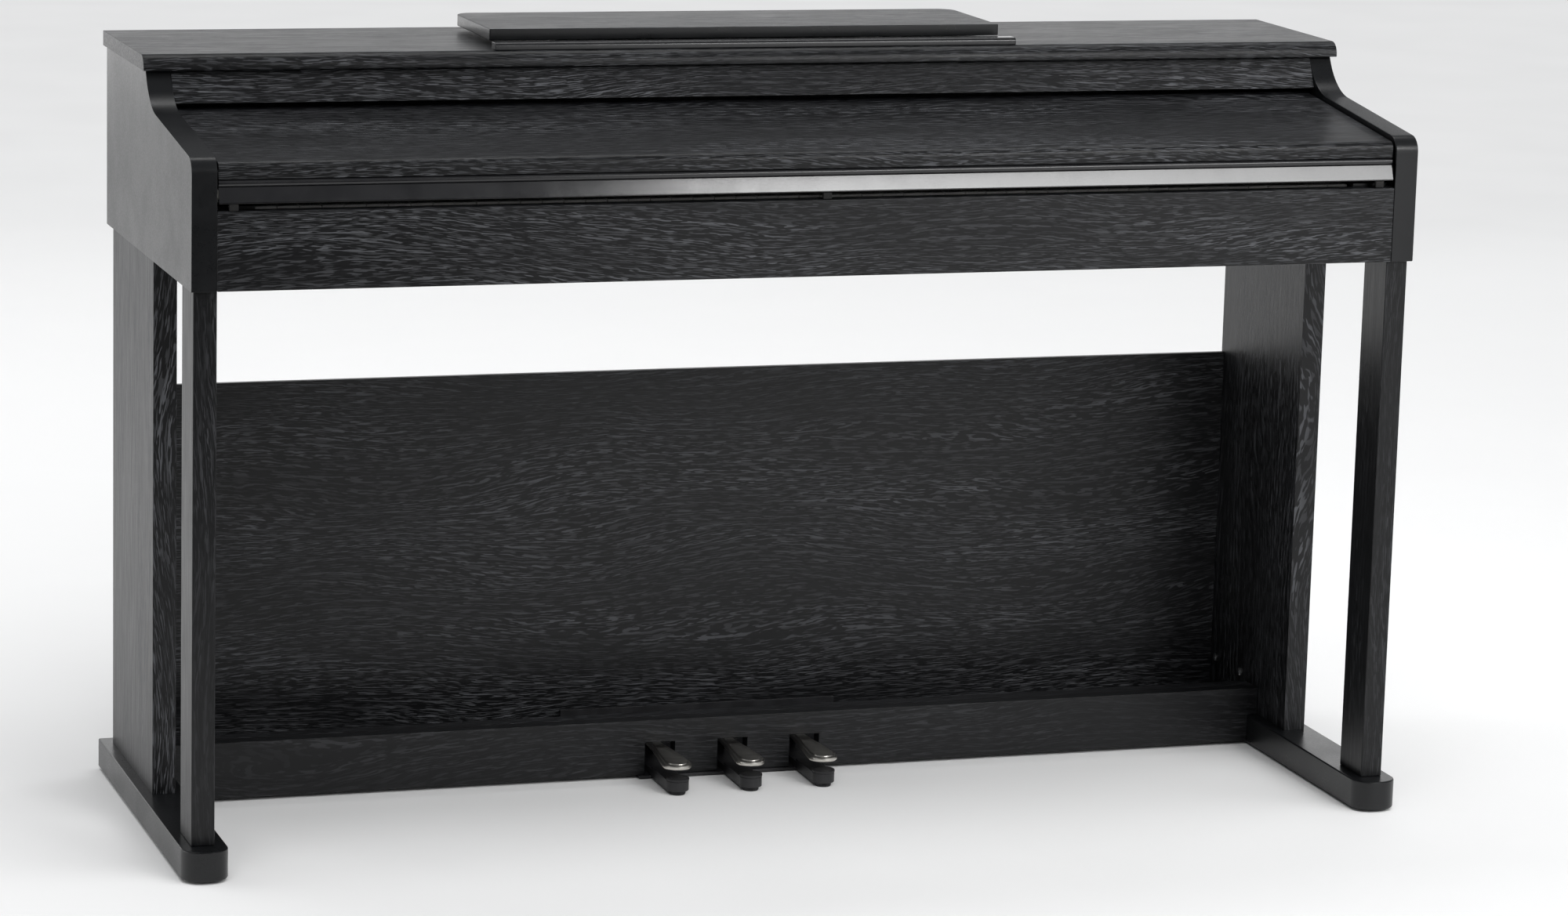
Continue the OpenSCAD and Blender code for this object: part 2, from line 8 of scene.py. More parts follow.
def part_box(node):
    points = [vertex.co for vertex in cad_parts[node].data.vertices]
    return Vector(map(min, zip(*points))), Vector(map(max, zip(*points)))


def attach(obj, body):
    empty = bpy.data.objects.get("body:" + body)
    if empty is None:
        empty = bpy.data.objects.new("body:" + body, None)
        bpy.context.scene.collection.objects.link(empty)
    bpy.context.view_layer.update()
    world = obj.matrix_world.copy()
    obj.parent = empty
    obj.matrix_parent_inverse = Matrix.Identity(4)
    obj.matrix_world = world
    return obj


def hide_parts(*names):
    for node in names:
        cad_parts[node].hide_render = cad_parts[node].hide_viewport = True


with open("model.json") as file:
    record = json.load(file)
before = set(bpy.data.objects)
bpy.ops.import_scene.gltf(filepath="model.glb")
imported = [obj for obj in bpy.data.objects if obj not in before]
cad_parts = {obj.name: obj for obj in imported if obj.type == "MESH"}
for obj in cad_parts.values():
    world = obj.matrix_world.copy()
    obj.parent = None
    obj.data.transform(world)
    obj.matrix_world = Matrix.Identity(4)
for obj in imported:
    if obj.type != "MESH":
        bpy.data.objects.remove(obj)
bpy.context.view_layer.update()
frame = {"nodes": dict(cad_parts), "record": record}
mm = 0.001
bodyOf = {node: body for body, nodes in frame["record"]["behaviour"]["bodies"].items() for node in nodes}


# small helpers for node trees

def addNode(tree, kind, settings=None, inputs=None):
    node = tree.nodes.new(kind)
    for key, value in (settings or {}).items():
        setattr(node, key, value)
    for key, value in (inputs or {}).items():
        if isinstance(value, bpy.types.NodeSocket):
            tree.links.new(value, node.inputs[key])
        else:
            node.inputs[key].default_value = value
    return node


def calc(tree, operation, first, second=0.0):
    return addNode(tree, "ShaderNodeMath", {"operation": operation}, {0: first, 1: second}).outputs[0]


def noise(tree, vector, scale, detail=2.0, roughness=0.5):
    sizes = {"Vector": vector, "Scale": scale, "Detail": detail, "Roughness": roughness}
    return addNode(tree, "ShaderNodeTexNoise", None, sizes).outputs["Fac"]


def stretch(tree, vector, scale, turn=(0.0, 0.0, 0.0)):
    sizes = {"Vector": vector, "Scale": scale, "Rotation": turn}
    return addNode(tree, "ShaderNodeMapping", None, sizes).outputs[0]


def ramp(tree, value, low, high, fromValue=0.0, toValue=1.0):
    limits = {0: value, 1: low, 2: high, 3: fromValue, 4: toValue}
    return addNode(tree, "ShaderNodeMapRange", {"interpolation_type": "SMOOTHSTEP"}, limits).outputs[0]


def blendColour(tree, factor, first, second):
    node = addNode(tree, "ShaderNodeMix", {"data_type": "RGBA"}, {0: factor})
    for index, colour in ((6, first), (7, second)):
        if isinstance(colour, bpy.types.NodeSocket):
            tree.links.new(colour, node.inputs[index])
        else:
            node.inputs[index].default_value = (*colour, 1.0)
    return node.outputs[2]


def bump(tree, height, distance, strength=1.0):
    sizes = {"Height": height, "Distance": distance, "Strength": strength}
    return addNode(tree, "ShaderNodeBump", None, sizes).outputs[0]


def startMaterial(name, **constants):
    material = bpy.data.materials.new(name)
    material.use_nodes = True
    tree = material.node_tree
    shader = tree.nodes["Principled BSDF"]
    for socket, value in constants.items():
        shader.inputs[socket.replace("_", " ")].default_value = value
    point = tree.nodes.new("ShaderNodeTexCoord").outputs["Object"]
    return material, tree, shader, point


def wire(tree, shader, **sockets):
    for socket, output in sockets.items():
        tree.links.new(output, shader.inputs[socket.replace("_", " ")])


# black open-pore oak: flowing rings, and pores as short pale dashes that follow them

oakLook = {
    "ground": (0.0040, 0.0042, 0.0047),
    "lateWood": (0.0065, 0.0067, 0.0074),
    "pore": (0.068, 0.070, 0.076),
    "figure": 0.15,                  # how far the rings wander, metres
    "figureScale": (1.7, 6.5, 6.5),  # along, across and into the board
    "wobble": 0.004,
    "wobbleScale": (16.0, 90.0, 90.0),
    "ringPitch": 0.0090,             # metres between rings
    "poreLength": 0.0110,
    "poreWidth": 0.0008,
    "poreDepth": 0.00016,
    "poreStrength": 0.8,
    "patchScale": (3.0, 18.0, 18.0),
    "streakScale": (14.0, 420.0, 420.0),
    "gloss": 0.31,
}


def makeOak(name, turn, openness=1.0):
    material, tree, shader, point = startMaterial(name, Specular_IOR_Level=0.32)
    along = stretch(tree, point, (1.0, 1.0, 1.0), turn)
    waves = noise(tree, stretch(tree, along, oakLook["figureScale"]), 1.0, 1.5, 0.42)
    split = addNode(tree, "ShaderNodeSeparateXYZ", None, {0: along})
    across = calc(tree, "ADD", split.outputs["Y"], split.outputs["Z"])
    flow = calc(tree, "ADD", across, calc(tree, "MULTIPLY", waves, oakLook["figure"]))
    wobble = noise(tree, stretch(tree, along, oakLook["wobbleScale"]), 1.0, 2.0)
    flow = calc(tree, "ADD", flow, calc(tree, "MULTIPLY", wobble, oakLook["wobble"]))
    rings = calc(tree, "SINE", calc(tree, "MULTIPLY", flow, 2 * math.pi / oakLook["ringPitch"]))
    early = ramp(tree, rings, -0.45, 0.75)
    grainPoint = addNode(tree, "ShaderNodeCombineXYZ", None, {
        "X": calc(tree, "DIVIDE", split.outputs["X"], oakLook["poreLength"]),
        "Y": calc(tree, "DIVIDE", flow, oakLook["poreWidth"]),
        "Z": calc(tree, "MULTIPLY", across, 31.0),
    }).outputs[0]
    dashes = ramp(tree, noise(tree, grainPoint, 0.62, 1.0, 0.55), 0.51, 0.575)
    clouds = noise(tree, stretch(tree, along, oakLook["patchScale"]), 1.0, 2.0)
    patches = ramp(tree, clouds, 0.38, 0.66, 0.36, 1.0)
    density = calc(tree, "MULTIPLY", ramp(tree, early, 0.0, 1.0, 0.45 * openness, openness), patches)
    pores = calc(tree, "MULTIPLY", dashes, density)
    streaks = noise(tree, stretch(tree, along, oakLook["streakScale"]), 1.0, 3.0)
    shade = calc(tree, "MULTIPLY", early, streaks)
    ground = blendColour(tree, shade, oakLook["ground"], oakLook["lateWood"])
    colour = blendColour(tree, pores, ground, oakLook["pore"])
    sheen = ramp(tree, streaks, 0.3, 0.7, oakLook["gloss"], oakLook["gloss"] + 0.1)
    gloss = calc(tree, "ADD", sheen, calc(tree, "MULTIPLY", pores, 0.16))
    height = calc(tree, "SUBTRACT", calc(tree, "MULTIPLY", streaks, 0.22), pores)
    relief = bump(tree, height, oakLook["poreDepth"], oakLook["poreStrength"])
    wire(tree, shader, Base_Color=colour, Roughness=gloss, Normal=relief)
    return material


# smooth finishes: lacquer, plastic, rubber, nylon and painted steel differ only in these numbers

smoothLooks = {
    "satinLacquer": {"low": (0.0042, 0.0046, 0.0052), "high": (0.0068, 0.0072, 0.0080),
                     "rough": (0.27, 0.36), "mottle": 14.0, "fine": 520.0, "relief": 0.00003, "level": 0.4},
    "beadLacquer": {"low": (0.007, 0.007, 0.008), "high": (0.011, 0.011, 0.012), "rough": (0.20, 0.26),
                    "mottle": 22.0, "fine": 700.0, "relief": 0.00002, "level": 0.6},
    "glossStrip": {"low": (0.006, 0.006, 0.007), "high": (0.010, 0.010, 0.011), "rough": (0.10, 0.16),
                   "mottle": 30.0, "fine": 900.0, "relief": 0.00002, "level": 0.7},
    "mouldedPlastic": {"low": (0.010, 0.010, 0.011), "high": (0.017, 0.017, 0.018), "rough": (0.42, 0.56),
                       "mottle": 40.0, "fine": 1500.0, "relief": 0.00008, "level": 0.5},
    "softRubber": {"low": (0.011, 0.011, 0.011), "high": (0.022, 0.021, 0.020), "rough": (0.72, 0.9),
                   "mottle": 60.0, "fine": 900.0, "relief": 0.00010, "level": 0.3},
    "paleNylon": {"low": (0.62, 0.61, 0.56), "high": (0.74, 0.73, 0.68), "rough": (0.36, 0.5),
                  "mottle": 80.0, "fine": 900.0, "relief": 0.00003, "level": 0.5},
    "paintedSteel": {"low": (0.011, 0.011, 0.012), "high": (0.019, 0.019, 0.021), "rough": (0.34, 0.48),
                     "mottle": 35.0, "fine": 1100.0, "relief": 0.00006, "level": 0.5},
    "whiteKeytop": {"low": (0.74, 0.73, 0.69), "high": (0.82, 0.81, 0.78), "rough": (0.20, 0.30),
                    "mottle": 9.0, "fine": 600.0, "relief": 0.00001, "level": 0.5},
    "blackKeytop": {"low": (0.008, 0.008, 0.008), "high": (0.014, 0.014, 0.014), "rough": (0.38, 0.5),
                    "mottle": 50.0, "fine": 1300.0, "relief": 0.00004, "level": 0.5},
    "silverButton": {"low": (0.36, 0.36, 0.38), "high": (0.46, 0.46, 0.48), "rough": (0.26, 0.36),
                     "mottle": 90.0, "fine": 1500.0, "relief": 0.00002, "level": 0.5},
}


def makeSmooth(name, look):
    material, tree, shader, point = startMaterial(name, Specular_IOR_Level=look["level"])
    mottle = noise(tree, point, look["mottle"], 4.0, 0.6)
    fine = noise(tree, point, look["fine"], 2.0, 0.6)
    tone = blendColour(tree, ramp(tree, mottle, 0.32, 0.68), look["low"], look["high"])
    both = calc(tree, "MULTIPLY", calc(tree, "ADD", mottle, fine), 0.5)
    rough = ramp(tree, both, 0.35, 0.65, *look["rough"])
    wire(tree, shader, Base_Color=tone, Roughness=rough, Normal=bump(tree, fine, look["relief"]))
    return material


# bare metals, brushed along one direction

metalLooks = {
    "polishedNickel": {"tone": (0.70, 0.675, 0.625), "dull": (0.62, 0.60, 0.555), "rough": (0.30, 0.36),
                       "brush": (60.0, 12.0, 60.0), "relief": 0.000004},
    "zincSteel": {"tone": (0.62, 0.63, 0.64), "dull": (0.40, 0.40, 0.41), "rough": (0.24, 0.42),
                  "brush": (30.0, 240.0, 240.0), "relief": 0.00003},
}


def makeMetal(name, look):
    material, tree, shader, point = startMaterial(name, Metallic=1.0)
    cloud = noise(tree, point, 70.0, 4.0, 0.6)
    brushed = noise(tree, stretch(tree, point, look["brush"]), 12.0, 3.0, 0.65)
    worn = ramp(tree, calc(tree, "MULTIPLY", cloud, brushed), 0.12, 0.4)
    tone = blendColour(tree, worn, look["dull"], look["tone"])
    rough = ramp(tree, brushed, 0.3, 0.7, *look["rough"])
    wire(tree, shader, Base_Color=tone, Roughness=rough, Normal=bump(tree, brushed, look["relief"]))
    return material


# felt strips under the keys

feltLook = {"low": (0.17, 0.012, 0.016), "high": (0.34, 0.035, 0.04), "fibres": (700.0, 900.0, 1400.0),
            "rough": (0.85, 1.0), "relief": 0.0004}


def makeFelt(name, look):
    material, tree, shader, point = startMaterial(name, Sheen_Weight=0.4, Specular_IOR_Level=0.2)
    fibres = noise(tree, stretch(tree, point, look["fibres"]), 1.0, 5.0, 0.7)
    tone = blendColour(tree, ramp(tree, fibres, 0.3, 0.7), look["low"], look["high"])
    wire(tree, shader, Base_Color=tone, Roughness=ramp(tree, fibres, 0.3, 0.7, *look["rough"]),
         Normal=bump(tree, fibres, look["relief"]))
    return material


# circuit board: squarish tracks under green lacquer

circuitLook = {"low": (0.008, 0.075, 0.032), "high": (0.02, 0.15, 0.06), "cells": 95.0, "tracks": 40.0,
               "rough": (0.34, 0.5), "relief": 0.00005}


def makeCircuitBoard(name, look):
    material, tree, shader, point = startMaterial(name, Specular_IOR_Level=0.5)
    cells = addNode(tree, "ShaderNodeTexVoronoi", {"distance": "CHEBYCHEV", "feature": "F2"},
                    {"Vector": point, "Scale": look["cells"]}).outputs["Distance"]
    tracks = ramp(tree, calc(tree, "SINE", calc(tree, "MULTIPLY", cells, look["tracks"])), 0.1, 0.6)
    tone = blendColour(tree, tracks, look["low"], look["high"])
    wire(tree, shader, Base_Color=tone, Roughness=ramp(tree, tracks, 0.0, 1.0, *look["rough"]),
         Normal=bump(tree, tracks, look["relief"]))
    return material


uprightTurn = (0.0, math.radians(90.0), 0.0)
oakAcross = makeOak("oakAcross", (0.0, 0.0, 0.0))
oakUpright = makeOak("oakUpright", uprightTurn)
oakQuiet = makeOak("oakQuiet", (0.0, 0.0, 0.0), 0.28)
oakQuietUpright = makeOak("oakQuietUpright", uprightTurn, 0.35)
smooth = {name: makeSmooth(name, look) for name, look in smoothLooks.items()}
metal = {name: makeMetal(name, look) for name, look in metalLooks.items()}
redFelt = makeFelt("redFelt", feltLook)
greenBoard = makeCircuitBoard("greenBoard", circuitLook)
print("materials ready")


# pieces from meshes

def linkPiece(name, mesh, materials):
    piece = bpy.data.objects.new(name, mesh)
    bpy.context.scene.collection.objects.link(piece)
    mesh.materials.clear()
    for material in materials:
        mesh.materials.append(material)
    return piece


def bake(piece):
    view = bpy.context.evaluated_depsgraph_get()
    mesh = bpy.data.meshes.new_from_object(piece.evaluated_get(view), depsgraph=view)
    piece.modifiers.clear()
    piece.data = mesh


def softenEdges(piece, width, segments=2):
    bevel = piece.modifiers.new("Edges", "BEVEL")
    bevel.width = width
    bevel.segments = segments
    bevel.limit_method = "ANGLE"
    bevel.angle_limit = math.radians(32.0)
    for face in piece.data.polygons:
        face.use_smooth = True
    weighted = piece.modifiers.new("Normals", "WEIGHTED_NORMAL")
    weighted.mode = "FACE_AREA"
    weighted.keep_sharp = True
    bake(piece)


def mergedCopy(node):
    mesh = frame["nodes"][node].data.copy()
    work = bmesh.new()
    work.from_mesh(mesh)
    bmesh.ops.remove_doubles(work, verts=work.verts, dist=0.01 * mm)
    bmesh.ops.dissolve_limit(work, angle_limit=math.radians(0.3), verts=work.verts, edges=work.edges)
    work.to_mesh(mesh)
    work.free()
    if "custom_normal" in mesh.attributes:
        mesh.attributes.remove(mesh.attributes["custom_normal"])
    return mesh


def standFor(piece, node):
    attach(piece, bodyOf[node])
    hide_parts(node)
    return piece


# boards and mouldings: each node's own shape with eased edges, widths in millimetres

boardLooks = {
    "top_board": {"finish": [oakAcross], "edge": 0.6},
    "left_cheek": {"finish": [smooth["satinLacquer"]], "edge": 1.3},
    "right_cheek": {"finish": [smooth["satinLacquer"]], "edge": 1.3},
    "fascia": {"finish": [oakAcross], "edge": 0.5},
    "keyslip": {"finish": [oakAcross], "edge": 1.3},
    "keybed": {"finish": [oakAcross], "edge": 0.4},
    "rear_board": {"finish": [oakAcross], "edge": 0.6},
    "key_cover": {"finish": [oakAcross], "edge": 0.5},
    "cover_rail": {"finish": [smooth["beadLacquer"]], "edge": 0.5},
    "cover_lip": {"finish": [smooth["glossStrip"]], "edge": 0.35},
    "cover_guides": {"finish": [smooth["paleNylon"]], "edge": 0.4},
    "cover_bumpers": {"finish": [smooth["softRubber"]], "edge": 1.2},
    "cover_tracks": {"finish": [smooth["mouldedPlastic"]], "edge": 0.3},
    "key_blocks": {"finish": [smooth["satinLacquer"]], "edge": 1.0},
    "control_panel": {"finish": [smooth["mouldedPlastic"]], "edge": 0.8},
    "power_button": {"finish": [smooth["silverButton"]], "edge": 0.6},
    "mode_button": {"finish": [smooth["silverButton"]], "edge": 0.6},
    "headphone_box": {"finish": [smooth["mouldedPlastic"]], "edge": 1.0},
    "jack_plate": {"finish": [smooth["mouldedPlastic"]], "edge": 0.5},
    "music_desk": {"finish": [oakAcross, smooth["satinLacquer"]], "edge": 1.0, "rim": True},
    "desk_ledge": {"finish": [smooth["beadLacquer"]], "edge": 0.8},
    "desk_stay": {"finish": [metal["zincSteel"]], "edge": 0.4},
    "left_foot": {"finish": [smooth["satinLacquer"]], "edge": 1.6},
    "right_foot": {"finish": [smooth["satinLacquer"]], "edge": 1.6},
    "side_panels": {"finish": [oakUpright], "edge": 0.9},
    "front_legs": {"finish": [oakQuietUpright], "edge": 1.1},
    "back_panel": {"finish": [oakAcross], "edge": 0.7},
    "pedal_box_front": {"finish": [oakQuiet], "edge": 0.8},
    "pedal_box_top": {"finish": [oakAcross], "edge": 0.8},
    "pedal_base": {"finish": [smooth["paintedSteel"]], "edge": 0.4},
    "corner_brackets": {"finish": [smooth["paintedSteel"]], "edge": 0.4},
}

for node, look in boardLooks.items():
    board = linkPiece(node + "_finished", mergedCopy(node), look["finish"])
    softenEdges(board, look["edge"] * mm)
    if look.get("rim"):  # edge bands are smooth, the two big faces are veneered
        for face in board.data.polygons:
            face.material_index = 0 if abs(face.normal.z) > 0.7 else 1
    standFor(board, node)
print("boards eased:", len(boardLooks))


# keys: only the edges that fingers meet are eased

keyLooks = {
    "white": {"nodes": ["bass_white_keys", "treble_white_keys", "key_c4", "key_d4", "key_e4"],
              "finish": "whiteKeytop", "edge": 0.8, "band": 0.1},
    "black": {"nodes": ["bass_black_keys", "treble_black_keys", "key_c4_sharp", "key_d4_sharp"],
              "finish": "blackKeytop", "edge": 0.9, "band": 1.2},
}


def makeKeys(node, look):
    mesh = mergedCopy(node)
    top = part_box(node)[1].z - look["band"] * mm
    work = bmesh.new()
    work.from_mesh(mesh)
    edges = [e for e in work.edges if min(v.co.z for v in e.verts) > top and e.calc_face_angle(0.0) > 0.6]
    made = bmesh.ops.bevel(work, geom=edges, offset=look["edge"] * mm, segments=3, profile=0.5,
                           affect="EDGES", clamp_overlap=True)
    for face in made["faces"]:
        face.smooth = True
    work.to_mesh(mesh)
    work.free()
    return standFor(linkPiece(node + "_eased", mesh, [smooth[look["finish"]]]), node)


for look in keyLooks.values():
    for node in look["nodes"]:
        makeKeys(node, look)
print("keys eased")


# pedals: a rolled rim round a raised plateau, with a crease behind the tip

pedalLook = {
    "thickness": 8.5,
    "boss": {"at": 170.0, "rise": 0.5, "inner": 3.1, "outer": 8.0, "half": 6.0},
    "arcSteps": 22,
    "tipRadius": 16.5, "tipEnd": 19.0, "shankHalf": 9.0, "tailHalf": 6.0,
    "neckAt": 77.0, "tailAt": 113.0, "endAt": 164.0,  # distances back from the tip
    "creaseAt": 24.0, "creaseHalf": 0.7, "creaseDepth": 0.7, "droop": 1.1,
    "shankMarks": [34.0, 48.0, 62.0],
    "insetLeast": 0.45, "insetRun": 80.0,  # the rim gets narrower towards the tail
    "topFrom": 5.0,                        # rings above this follow the crease and the droop
    # inset and height above the underside of each ring, from below to the plateau
    "section": [(2.6, 0.0), (1.0, 0.25), (0.25, 1.0), (0.0, 2.2), (0.0, 3.4), (0.35, 4.8), (1.2, 5.9),
                (2.2, 6.3), (3.1, 6.1), (3.5, 6.35), (3.8, 7.4), (4.1, 8.0), (4.9, 8.4)],
}


def pedalSide(look):
    radius = look["tipRadius"]
    points = []
    for step in range(look["arcSteps"] + 1):
        angle = math.radians(90.0 * step / look["arcSteps"])
        points.append((radius * math.sin(angle), radius * (1 - math.cos(angle))))
    crease, half = look["creaseAt"], look["creaseHalf"]
    marks = [look["tipEnd"]] + [crease + step * half for step in (-3, -1, 0, 1, 3)] + look["shankMarks"]
    for back in marks + [look["neckAt"]]:
        share = (back - radius) / (look["neckAt"] - radius)
        eased = share * share * (3 - 2 * share) * 0.35 + share * 0.65
        points.append((radius + (look["shankHalf"] - radius) * eased, back))
    points.append((look["tailHalf"], look["tailAt"]))
    points.append((look["tailHalf"], look["endAt"]))
    return points


def sideNormals(points):
    normals = []
    for i, point in enumerate(points):
        before = Vector(points[max(i - 1, 0)])
        after = Vector(points[min(i + 1, len(points) - 1)])
        run = (after - before).normalized()
        normals.append(Vector((run.y, -run.x)))
    normals[0] = Vector((0.0, -1.0))
    normals[-1] = Vector((1.0, 0.0))
    return normals


def topDrop(look, back):
    crease = max(0.0, 1.0 - abs(back - look["creaseAt"]) / (2 * look["creaseHalf"]))
    front = max(0.0, (look["creaseAt"] - back) / look["creaseAt"])
    return crease * look["creaseDepth"] + front * front * look["droop"]


def makePedal(node, look):
    low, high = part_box(node)
    middle, underside = (low.x + high.x) / 2, high.z - look["thickness"] * mm
    side = pedalSide(look)
    normals = sideNormals(side)
    work = bmesh.new()
    rings = []
    for inset, height in look["section"]:
        right, left = [], []
        for (x, back), normal in zip(side, normals):
            pastTip = max(0.0, back - look["tipRadius"])
            squeeze = max(look["insetLeast"], 1.0 - pastTip / look["insetRun"])
            px = max(0.0, x - normal.x * inset * squeeze)
            py = back - normal.y * inset * squeeze
            pz = height - (topDrop(look, back) if height > look["topFrom"] else 0.0)
            place = (middle + px * mm, low.y + py * mm, underside + pz * mm)
            right.append(work.verts.new(place))
            mirrored = (2 * middle - place[0], *place[1:])
            left.append(right[0] if len(right) == 1 else work.verts.new(mirrored))
        rings.append((right, left))
    last = len(side) - 1
    for (lowRight, lowLeft), (highRight, highLeft) in zip(rings, rings[1:]):
        for i in range(last):
            work.faces.new((lowRight[i], lowRight[i + 1], highRight[i + 1], highRight[i]))
            work.faces.new((lowLeft[i + 1], lowLeft[i], highLeft[i], highLeft[i + 1]))
    for right, left in (rings[0], rings[-1]):
        work.faces.new((right[0], right[1], left[1]))
        for i in range(1, last):
            work.faces.new((right[i], right[i + 1], left[i + 1], left[i]))
    work.faces.new([right[last] for right, left in rings] + [left[last] for right, left in reversed(rings)])
    boss = look["boss"]
    centre = (middle, low.y + boss["at"] * mm, underside + boss["rise"] * mm)
    addRing(work, centre, boss["inner"], boss["outer"], boss["half"])
    bmesh.ops.recalc_face_normals(work, faces=work.faces)
    for face in work.faces:
        face.smooth = True
    mesh = bpy.data.meshes.new(node + "_polished")
    work.to_mesh(mesh)
    work.free()
    mesh.set_sharp_from_angle(angle=math.radians(48.0))
    return standFor(linkPiece(node + "_polished", mesh, [metal["polishedNickel"]]), node)


def skinRows(work, rows):
    for row, nextRow in zip(rows, rows[1:] + rows[:1]):
        for i in range(len(row)):
            j = (i + 1) % len(row)
            work.faces.new((row[i], row[j], nextRow[j], nextRow[i]))


def addRing(work, centre, inner, outer, half, edge=0.5, steps=40):
    profile = [(inner, -half), (outer - edge, -half), (outer, -half + edge), (outer, half - edge),
               (outer - edge, half), (inner, half)]
    rows = []
    for step in range(steps):
        angle = 2 * math.pi * step / steps
        rows.append([])
        for radius, along in profile:
            y = centre[1] + radius * mm * math.cos(angle)
            z = centre[2] + radius * mm * math.sin(angle)
            rows[-1].append(work.verts.new((centre[0] + along * mm, y, z)))
    skinRows(work, rows)


pedalNodes = ("left_pedal", "middle_pedal", "right_pedal")
for node in pedalNodes:
    makePedal(node, pedalLook)
print("pedals made")


# pedal arms: the bars and their ears, with turned collars that hold the adjusters

collarLook = {
    # radius and height of each ring
    "profile": [(11.4, 5.0), (12.2, 5.0), (12.5, 5.4), (12.5, 15.4), (12.1, 15.8), (12.1, 16.3),
                (12.9, 16.8), (12.9, 18.6), (12.4, 19.1), (9.6, 19.1), (9.4, 18.8), (9.4, 17.4),
                (11.4, 17.0)],
    "steps": 56,
}


def turn(work, centre, profile, steps):
    rows = []
    for step in range(steps):
        angle = 2 * math.pi * step / steps
        rows.append([])
        for radius, height in profile:
            x = centre.x + radius * mm * math.cos(angle)
            y = centre.y + radius * mm * math.sin(angle)
            rows[-1].append(work.verts.new((x, y, height * mm)))
    skinRows(work, rows)


arms = linkPiece("pedal_arms_finished", mergedCopy("pedal_arms"), [smooth["paintedSteel"]])
softenEdges(arms, 0.6 * mm)
standFor(arms, "pedal_arms")
adjusterNodes = ("left_adjuster", "middle_adjuster", "right_adjuster")
adjusterPlaces = {node: (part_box(node)[0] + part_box(node)[1]) / 2 for node in adjusterNodes}
collarWork = bmesh.new()
for place in adjusterPlaces.values():
    turn(collarWork, place, collarLook["profile"], collarLook["steps"])
bmesh.ops.recalc_face_normals(collarWork, faces=collarWork.faces)
collarMesh = bpy.data.meshes.new("pedal_collars")
collarWork.to_mesh(collarMesh)
collarWork.free()
for face in collarMesh.polygons:
    face.use_smooth = True
collarMesh.set_sharp_from_angle(angle=math.radians(35.0))
collars = linkPiece("pedal_collars", collarMesh, [smooth["mouldedPlastic"]])
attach(collars, "cabinet")
print("pedal arms made")


# geometry node trees for what repeats

def startTree(name, sizes):
    tree = bpy.data.node_groups.new(name, "GeometryNodeTree")
    tree.interface.new_socket("Geometry", in_out="INPUT", socket_type="NodeSocketGeometry")
    for label, kind in sizes.items():
        tree.interface.new_socket(label, in_out="INPUT", socket_type="NodeSocket" + kind)
    tree.interface.new_socket("Geometry", in_out="OUTPUT", socket_type="NodeSocketGeometry")
    return tree, tree.nodes.new("NodeGroupInput").outputs


def endTree(tree, geometry, material):
    real = addNode(tree, "GeometryNodeRealizeInstances", None, {"Geometry": geometry}).outputs[0]
    painted = addNode(tree, "GeometryNodeSetMaterial", None,
                      {"Geometry": real, "Material": material}).outputs[0]
    addNode(tree, "NodeGroupOutput", None, {"Geometry": painted})
    return tree


def join(tree, *parts):
    node = tree.nodes.new("GeometryNodeJoinGeometry")
    for part in parts:
        tree.links.new(part, node.inputs[0])
    return node.outputs[0]


def extrude(tree, mesh, distance, selection=True):
    node = addNode(tree, "GeometryNodeExtrudeMesh", {"mode": "FACES"},
                   {"Mesh": mesh, "Selection": selection, "Offset Scale": distance, "Individual": False})
    return node.outputs["Mesh"], node.outputs["Top"]


def shrink(tree, mesh, selection, scale):
    return addNode(tree, "GeometryNodeScaleElements", None,
                   {"Geometry": mesh, "Selection": selection, "Scale": scale}).outputs[0]


def placeOnPoints(tree, points, instance):
    facing = addNode(tree, "GeometryNodeInputNamedAttribute", {"data_type": "FLOAT_VECTOR"},
                     {"Name": "facing"}).outputs[0]
    turned = addNode(tree, "FunctionNodeAlignRotationToVector", {"axis": "Z"}, {"Vector": facing})
    return addNode(tree, "GeometryNodeInstanceOnPoints", None,
                   {"Points": points, "Instance": instance, "Rotation": turned.outputs[0]}).outputs[0]


def grow(name, tree, sizes, places=((0.0, 0.0, 0.0),), facings=None):
    seed = bpy.data.meshes.new(name + "Seed")
    seed.from_pydata([tuple(place) for place in places], [], [])
    facing = seed.attributes.new("facing", "FLOAT_VECTOR", "POINT")
    for i in range(len(places)):
        facing.data[i].vector = facings[i] if facings else (0.0, 0.0, 1.0)
    piece = bpy.data.objects.new(name, seed)
    bpy.context.scene.collection.objects.link(piece)
    modifier = piece.modifiers.new("Build", "NODES")
    modifier.node_group = tree
    for item in tree.interface.items_tree:
        if item.in_out == "INPUT" and item.name in sizes:
            modifier[item.identifier] = sizes[item.name]
    bake(piece)
    work = bmesh.new()
    work.from_mesh(piece.data)
    bmesh.ops.recalc_face_normals(work, faces=work.faces)
    work.to_mesh(piece.data)
    work.free()
    return piece


# round heads with a socket: screws and glides

